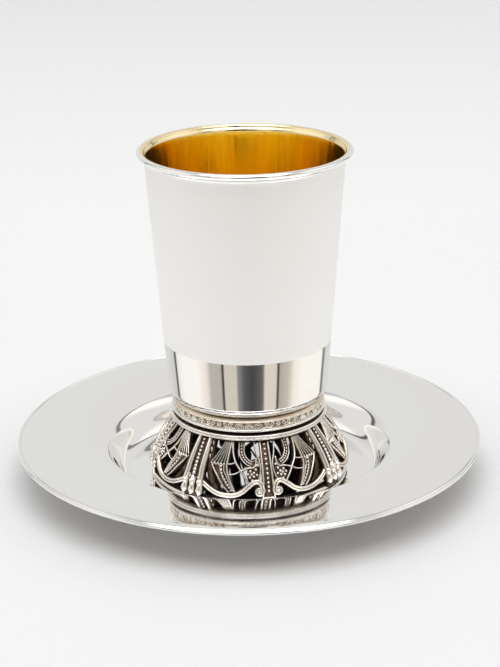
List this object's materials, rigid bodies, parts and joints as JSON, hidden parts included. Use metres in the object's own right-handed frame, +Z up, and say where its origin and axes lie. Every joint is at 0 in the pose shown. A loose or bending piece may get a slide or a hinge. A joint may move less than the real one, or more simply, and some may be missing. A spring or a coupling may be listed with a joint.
{
  "type": "kiddush cup",
  "caption": "Silver kiddush cup: plain tapering beaker with rolled lip and gilded inside, on a stamped collar and a bulging openwork foot, standing loose in a wide round saucer.",
  "frame": {"origin": "centre of the saucer's flat underside, on the table", "axes": "+Z up along the axis of the cup, -Y the front, +X to the right seen from the front"},
  "size_m": [0.1662, 0.1662, 0.1194],
  "materials": {
    "saucer": "mirror-polished sterling silver",
    "foot": "cast silver openwork, bright on the raised lines and oxidised dark in the hollows",
    "collar": "polished silver mouldings with a stamped, oxidised frieze",
    "beaker": "fine satin silver over a polished band, polished lip, gilded inside"
  },
  "bodies": {
    "root": {"saucer": "saucer", "foot": "foot", "collar": "collar", "beaker": "beaker"}
  },
  "joints": []
}
